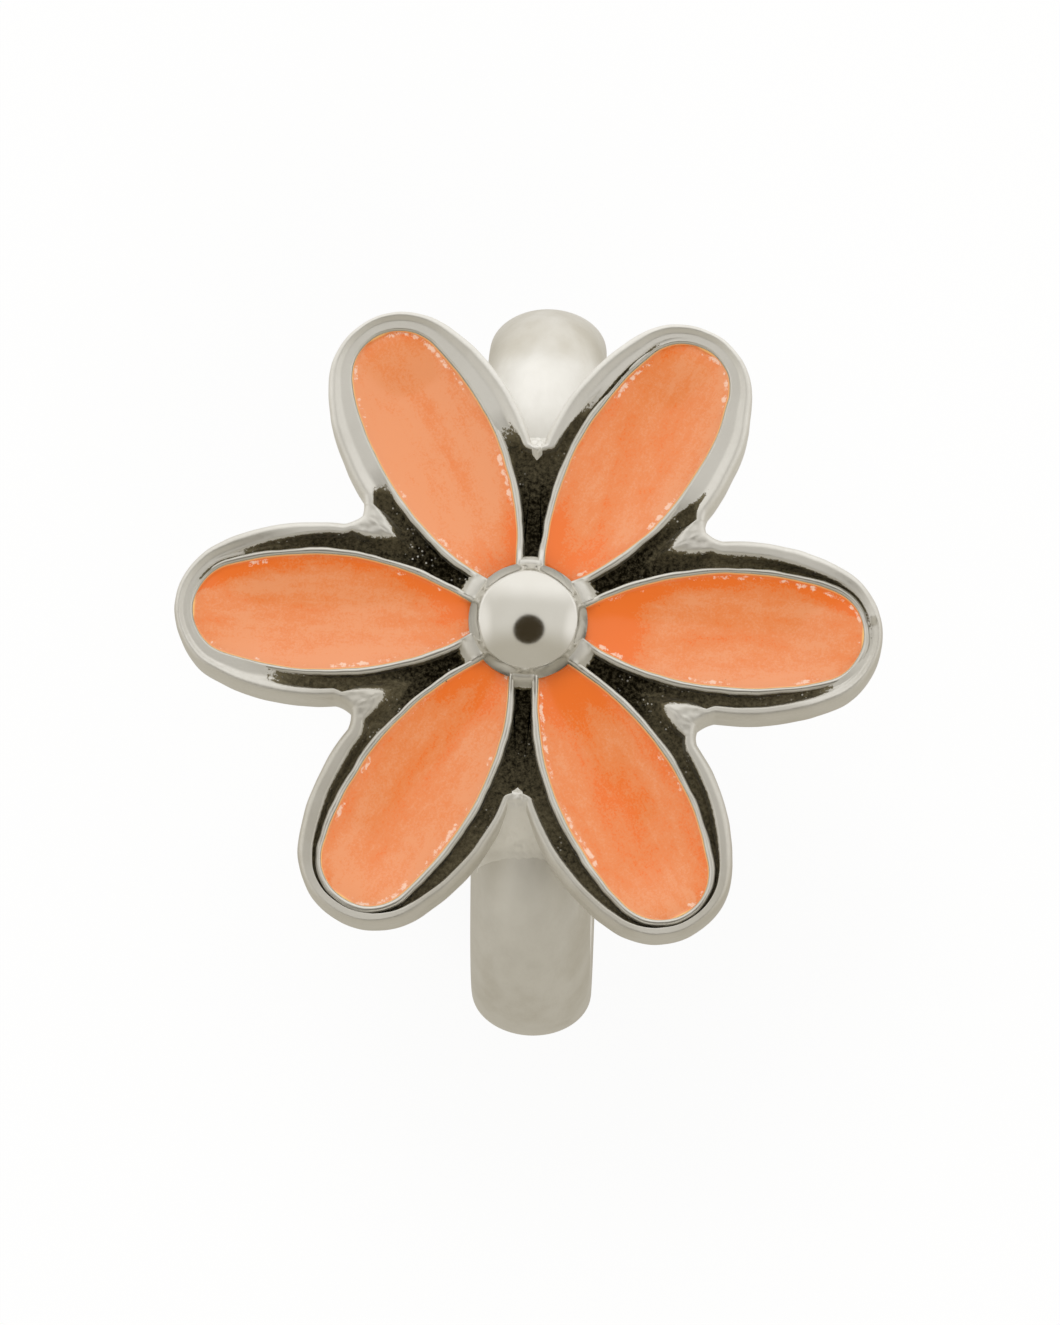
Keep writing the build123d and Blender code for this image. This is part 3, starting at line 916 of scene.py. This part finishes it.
def loopSection():  # half-oval section: x across, and how far in from the outer line
    look = loopLook
    half, soft, thick = loopHigh[0], look["softCorner"], look["thick"]
    sweep = np.linspace(-1, 1, look["crown"]) * math.acos(soft / thick * look["cornerRise"])
    crown = [(half * math.sin(a), crownRise * (1 - math.cos(a))) for a in sweep]
    edgeX, edgeY = crown[-1]
    corner = []
    for a in np.linspace(0, math.pi / 2, look["cornerSteps"])[1:]:
        x = edgeX + (half - edgeX) * math.sin(a * 2) * look["cornerBulge"] - soft * (1 - math.cos(a))
        corner.append((x, edgeY + (thick - edgeY) * math.sin(a)))
    flatX = corner[-1][0]
    inside = [(x, thick) for x in np.linspace(flatX, -flatX, look["insideSteps"])[1:-1]]
    return np.array(crown + corner + inside + [(-x, y) for x, y in reversed(corner)])


def loopMarks(points, square):  # blackening, painted highlight and painted shade over the loop
    look = loopLook
    across, y, z = abs(square[:, 0]) / loopHigh[0], square[:, 1], square[:, 2]
    near = easeIn(*about(loopHigh[2], look["blackDeep"]), points[:, 2])
    near = near * easeOut(*look["blackRun"], abs(points[:, 1]))
    front = z > loopHigh[2] / 2
    upper, lower = front * easeIn(*look["upperRun"], y), front * easeIn(*look["lowerRun"], -y)
    ringIn, ringOut = look["flankRing"]
    endIn, endOut = look["endRing"]
    flankRing = look["flankPaintedShade"] * easeIn(*ringIn, across) * easeOut(*ringOut, across)
    ring = np.maximum(flankRing, easeIn(*endIn, y) * easeOut(*endOut, y))
    centre = (1 - look["sideLoss"] * easeIn(*look["highlightSide"], across)) * easeOut(*look["highlightEnd"], y)
    # painted highlight on the middle of the upper end with painted shade in rings round it, and painted light
    # on the lower end
    paintedLight = upper * (look["polish"] * centre - look["paintedShade"] * ring)
    lowCentre = easeOut(*look["lowHighlightEnd"], -y) * easeOut(*look["lowHighlightSide"], across)
    paintedLight += lower * look["lowPaintedHighlight"] * lowCentre
    matt = look["matt"] * lower - look["gloss"] * upper
    return {"patina": look["black"] * near, "paintedLight": paintedLight, "matt": matt}


def buildLoop():
    look = loopLook
    # the line once round: flat run, end, flat run, end; the ends slope away sooner than a plain arc
    flat, half = look["flatHalf"], loopHigh[2] / 2
    bend = np.linspace(0, math.pi, look["bend"] + 1)[1:]
    power = np.where(bend > math.pi / 2, 2 / look["shoulder"], 1.0)
    endY, endZ = flat + (loopHigh[1] - flat) * np.sin(bend) ** power, half * (1 - np.cos(bend))
    run = np.linspace(-flat, flat, look["straight"], endpoint=False)
    line = np.concatenate([
        np.stack([run, run * 0], 1), np.stack([endY, endZ], 1),
        np.stack([-run[1:], run[1:] * 0 + 2 * half], 1), np.stack([-endY[::-1], endZ[::-1]], 1),
    ])
    along = unit(np.roll(line, -1, 0) - np.roll(line, 1, 0))
    inward = np.stack([-along[:, 1], along[:, 0]], 1)
    section = loopSection()
    waveX, waveY = look["wave"]
    points = []
    for (y, z), (inY, inZ) in zip(line, inward):
        for x, depth in section:
            wave = look["uneven"] * unevenness(x * waveX, y * waveY, z * waveY + 5)
            deep = depth + wave + look["inset"]
            points.append((x, y + inY * deep, z + inZ * deep))
    square = np.array(points)
    points = turned(square, math.radians(look["askew"])) + (look["aside"], 0, 0)
    faces = gridFaces(len(line), len(section), closeColumns=True, closeRows=True)
    piece = makePiece("strapLoop", points, faces, loopMarks(points, square))
    piece.data.materials.append(loopSilver)
    return piece


settle(buildLoop(), "strap_loop")
print("dome and loop made")


# solder: a lumpy bead along each side of the loop's crown, made by Geometry Nodes
beadWork = {"Radius": 0.13, "Blunt Ends": 14.0, "Lump": 0.06, "Lump Size": 0.17, "Seed": 2.0}
seamLook = {
    "aside": 0.62, "sink": 0.04, "overrun": 1.25, "patina": 0.16, "steps": 120, "around": 24,
    "endLeft": 0.002,
}


def beadTree():
    tree, sockets, given = startTree("solderBead", beadWork)
    line = add(tree, "GeometryNodeMeshToCurve", Mesh=given["Geometry"]).outputs[0]
    smooth = add(tree, "GeometryNodeResampleCurve", Curve=line, Count=seamLook["steps"]).outputs[0]
    radius = times(tree, given["Radius"], mm)
    around = seamLook["around"]
    profile = add(tree, "GeometryNodeCurvePrimitiveCircle", Resolution=around, Radius=radius).outputs[0]
    way = add(tree, "GeometryNodeSplineParameter").outputs["Factor"]
    fromMiddle = number(tree, "ABSOLUTE", number(tree, "MULTIPLY_ADD", way, 2.0, -1.0))
    ends = number(tree, "POWER", fromMiddle, given["Blunt Ends"])
    width = number(tree, "SQRT", minus(tree, 1 + seamLook["endLeft"], ends))
    sweep = add(tree, "GeometryNodeCurveToMesh", Curve=smooth, Profile_Curve=profile, Scale=width,
                Fill_Caps=True)
    scale = over(tree, 1 / mm, given["Lump Size"])
    where = add(tree, "GeometryNodeInputPosition").outputs[0]
    texture = add(tree, "ShaderNodeTexNoise", noise_dimensions="4D", Detail=3.0, Vector=where, Scale=scale)
    tree.links.new(given["Seed"], texture.inputs["W"])
    amount = times(tree, times(tree, minus(tree, texture.outputs[0], 0.5), given["Lump"]), mm)
    normal = add(tree, "GeometryNodeInputNormal").outputs[0]
    endTree(tree, sweep.outputs[0], scaledBy(tree, normal, amount), given)
    return tree, sockets


solderBead, beadSockets = beadTree()


def buildSeam(name, side):
    look = seamLook
    x = side * (seamLow[0] + look["aside"] * (seamHigh[0] - seamLow[0]))
    z = seamHigh[2] - look["sink"]
    path = [(x, seamLow[1] * look["overrun"], z), (x, 0, z), (x, seamHigh[1] * look["overrun"], z)]
    mesh = bpy.data.meshes.new(name + "Path")
    mesh.from_pydata([tuple(value * mm for value in p) for p in path], [(0, 1), (1, 2)], [])
    sizes = {**beadWork, "Seed": beadWork["Seed"] + side}
    piece = grow(addObject(name, mesh), solderBead, beadSockets, sizes, solderSilver)
    layer = piece.data.attributes.new("patina", "FLOAT", "POINT")
    layer.data.foreach_set("value", np.full(len(piece.data.vertices), look["patina"], np.float32))
    return piece


settle(buildSeam("solderSeamRight", 1), "solder_seam_right")
settle(buildSeam("solderSeamLeft", -1), "solder_seam_left")


# metal fills each end notch and runs down on to the loop; from, to and fall are distances out from the notch
notchFillLook = {
    "tuck": 0.08, "point": 0.85, "widest": 0.62, "finePoint": 0.004, "columns": 80, "across": 41, "deep": 0.2,
    "lip": (0.11, 0.15), "proud": 0.010, "endDrop": 0.06, "endRun": 0.05,
    "fineRough": 0.006, "patch": (0.16, 0.2), "lump": ((9, 3.0, 1.0), (21, 8.0, 0.5)),
    "solderFillBottom": {
        "side": -1, "from": -0.14, "to": 1.05, "fall": (-0.02, 0.85),
        "rough": ((0.62, 0.035), (-0.05, 0.03)),
    },
    "solderFillTop": {
        "side": 1, "from": -0.15, "to": 0.36, "fall": (-0.04, 0.32),
        "rough": ((0.0, 0.06), (0.15, 0.06)),
    },
}


def loopTop(offMiddle, y):  # the height of the loop's crown, beside its middle and y along it
    look = loopLook
    flank = crownRise * (1 - np.sqrt(1 - (offMiddle / loopHigh[0]) ** 2))
    bent = max(0, y - look["flatHalf"]) / (loopHigh[1] - look["flatHalf"])
    bent = bent ** (look["shoulder"] / 2)
    return loopHigh[2] - flank - loopHigh[2] / 2 * (1 - math.sqrt(1 - bent**2))


def buildNotchFill(name, material):
    look = {**notchFillLook, **notchFillLook[name]}
    edge = halfSector("end")[0]
    notchAt = float(np.linalg.norm(edge[0]))
    bisector = np.array([math.cos(step / 2), math.sin(step / 2)])
    along = edge @ bisector - notchAt
    aside = abs(edge @ np.array([-bisector[1], bisector[0]]))
    order = np.argsort(along)
    lipRun, lipDrop = look["lip"]
    askewBy = look["side"] * notchAt * math.sin(math.radians(loopLook["askew"]))
    patchAlong, patchAcross = look["patch"]
    columns = []
    for out in np.linspace(look["from"], look["to"], look["columns"]):
        width = min(np.interp(out, along[order], aside[order]) + look["tuck"], look["widest"],
                    look["point"] * (out - look["from"]) + look["finePoint"])
        x = np.linspace(-width, width, look["across"])
        crown = loopTop(x - loopLook["aside"] + askewBy, notchAt + out)
        down = easeIn(*look["fall"], out)
        rim = plateHigh[2] - lipDrop * easeOut(look["from"], look["from"] + lipRun, out)
        top = rim * (1 - down) + crown * down + look["proud"]
        top -= look["endDrop"] * easeIn(look["fall"][1] - look["endRun"], look["to"], out)
        patch = sum(height * math.exp(-(((out - at) / patchAlong) ** 2)) for at, height in look["rough"])
        lumps = [sum(share * unevenness(each * wave, out * wave, seed) for wave, seed, share in look["lump"])
                 for each in x]
        top += (patch * np.exp(-((x / patchAcross) ** 2)) + look["fineRough"]) * np.array(lumps)
        upper = np.stack([x, np.full(len(x), out), top], 1)
        lower = np.stack([x, np.full(len(x), out), crown - look["deep"]], 1)
        columns.append(np.concatenate([upper, lower[::-1]]))
    grid = np.array(columns)
    points = (grid.reshape(-1, 3) + (0, notchAt, 0)) * (1, look["side"], 1)
    # painted light, the same as on the loop's lower end
    paintedLight, matt = (np.full(len(points), loopLook[key]) for key in ("lowPaintedHighlight", "matt"))
    faces = barFaces(*grid.shape[:2])
    if look["side"] > 0:
        faces = [face[::-1] for face in faces]
    return setDown(makePiece(name, points, faces, {"paintedLight": paintedLight, "matt": matt}), 0, material)


settle(buildNotchFill("solderFillBottom", loopSilver))
settle(buildNotchFill("solderFillTop", solderSilver))
print("solder made")


# floor, light and camera; places of the lamps are in metres
stageLook = {
    "floorRadius": 3.0, "floorWhite": 0.88, "floorGlow": 0.92, "discSides": 64,
    "low": (0.52, 0.49, 0.42), "middle": (0.74, 0.72, 0.67), "high": (1.06, 1.045, 1.01),
    "side": (0.95, 0.93, 0.89), "sideRun": (0.80, 0.97), "lowRun": (-0.65, 0.0), "highRun": (0.40, 0.90),
    "floorRun": (0.0, 0.02),
    "keyAt": (-0.05, 0.17, 0.22), "fillAt": (0.08, -0.20, 0.18), "aimAt": (0, 0, 0.005),
    "lightSize": 0.16, "lightPower": 0.25, "fillShare": 0.8,
    "lensTone": (0.045, 0.034, 0.018, 1), "lensAway": 400, "lensHalfAngle": 23.8, "lensSoft": (0.82, 1.05),
}
cameraLook = {
    "tilt": 13.6, "swing": 2.2, "roll": 3.2, "distance": 78.1, "lens": 135.85, "sensor": 36,
    "shiftX": 0.0015, "shiftY": -0.0311, "clipStart": 0.002, "clipEnd": 20,
}


def addDisc(name, radius, material):
    sides = stageLook["discSides"]
    ring = [(radius * math.cos(a), radius * math.sin(a), 0) for a in np.arange(sides) * 2 * math.pi / sides]
    mesh = bpy.data.meshes.new(name)
    mesh.from_pydata(ring, [], [list(range(sides))])
    mesh.materials.append(material)
    disc = addObject(name, mesh)
    return disc


def mixShaders(tree, factor, first, second):
    blend = add(tree, "ShaderNodeMixShader")
    for socket, value in zip(blend.inputs, (factor, first.outputs[0], second.outputs[0])):
        tree.links.new(value, socket)
    return blend


def buildFloor():
    look = stageLook
    material, tree = newMaterial("paleFloor")
    rays = add(tree, "ShaderNodeLightPath").outputs
    mirrored = number(tree, "MAXIMUM", rays["Is Glossy Ray"], rays["Is Transmission Ray"])
    place = add(tree, "ShaderNodeTexCoord").outputs["Object"]
    along = add(tree, "ShaderNodeSeparateXYZ", Vector=place).outputs["Y"]
    # in mirror rays the floor glows darker on the near side and brighter beyond, a painted gradient of light
    inMetal = mix(tree, rise(tree, along, *look["floorRun"]), look["low"], look["high"])
    glow = add(tree, "ShaderNodeEmission", Color=mix(tree, mirrored, (1, 1, 1), inMetal))
    paint = add(tree, "ShaderNodeBsdfDiffuse", Color=(*[look["floorWhite"]] * 3, 1))
    seen = number(tree, "MAXIMUM", rays["Is Camera Ray"], mirrored)
    output(tree, mixShaders(tree, times(tree, seen, look["floorGlow"]), paint, glow))
    addDisc("floor", look["floorRadius"], material)


def buildWorld():  # a plain pale room, brighter beyond the top of the object and greyer this side of it
    look = stageLook
    world = bpy.data.worlds.new("paleRoom")
    bpy.context.scene.world = world
    world.use_nodes = True
    tree = world.node_tree
    tree.nodes.clear()
    place = add(tree, "ShaderNodeTexCoord").outputs["Generated"]
    way = add(tree, "ShaderNodeSeparateXYZ", Vector=place).outputs
    aside = number(tree, "ABSOLUTE", way["X"])
    tone = mix(tree, rise(tree, aside, *look["sideRun"]), look["middle"], look["side"])
    tone = mix(tree, fall(tree, way["Y"], *look["lowRun"]), tone, look["low"])
    tone = mix(tree, rise(tree, way["Y"], *look["highRun"]), tone, look["high"])
    output(tree, add(tree, "ShaderNodeBackground", Color=tone), "World")


def buildLight(name, at, power):
    data = bpy.data.lights.new(name, "AREA")
    data.shape = "DISK"
    data.size = stageLook["lightSize"]
    data.energy = power
    lamp = addObject(name, data)
    lamp.location = at
    lamp.rotation_euler = (Vector(stageLook["aimAt"]) - Vector(at)).to_track_quat("-Z", "Y").to_euler()
    lamp.visible_glossy = False


def cameraStand():  # the point looked at, the way back to the camera, and the camera's turn
    tilt, swing, roll = (math.radians(cameraLook[key]) for key in ("tilt", "swing", "roll"))
    away = Vector((math.sin(swing) * math.cos(tilt), -math.sin(tilt), math.cos(swing) * math.cos(tilt)))
    up = (Vector((0, 1, 0)) - away * away.y).normalized()
    up = Matrix.Rotation(roll, 3, away) @ up
    turn = Matrix((up.cross(away), up, away)).transposed().to_4x4()
    return Vector((0, 0, fillHigh[2])) * mm, away, turn


def buildCamera():
    look = cameraLook
    centre, away, turn = cameraStand()
    data = bpy.data.cameras.new("camera")
    data.lens = look["lens"]
    data.sensor_width = data.sensor_height = look["sensor"]
    data.shift_x, data.shift_y = look["shiftX"], look["shiftY"]
    data.clip_start, data.clip_end = look["clipStart"], look["clipEnd"]
    camera = addObject("camera", data)
    camera.matrix_world = Matrix.Translation(centre + away * look["distance"] * mm) @ turn
    bpy.context.scene.camera = camera


def buildLens():  # the dark front of the lens, soft at its rim, which polished metal shows
    look = stageLook
    centre, away, turn = cameraStand()
    inner, outer = look["lensSoft"]
    radius = outer * look["lensAway"] * math.tan(math.radians(look["lensHalfAngle"])) * mm
    material, tree = newMaterial("lensBlack")
    place = add(tree, "ShaderNodeTexCoord").outputs["Object"]
    length = add(tree, "ShaderNodeVectorMath", operation="LENGTH", Vector=place).outputs["Value"]
    paint = add(tree, "ShaderNodeEmission", Color=look["lensTone"])
    clear = add(tree, "ShaderNodeBsdfTransparent")
    output(tree, mixShaders(tree, rise(tree, length, inner * radius, radius), paint, clear))
    lens = addDisc("lensFront", radius, material)
    lens.matrix_world = Matrix.Translation(centre + away * look["lensAway"] * mm) @ turn
    lens.visible_camera = lens.visible_shadow = lens.visible_diffuse = False


buildFloor()
buildWorld()
buildLight("keyPanel", stageLook["keyAt"], stageLook["lightPower"])
buildLight("fillPanel", stageLook["fillAt"], stageLook["lightPower"] * stageLook["fillShare"])
buildCamera()
buildLens()
bpy.context.scene.view_settings.view_transform = "Standard"
print("stage made")
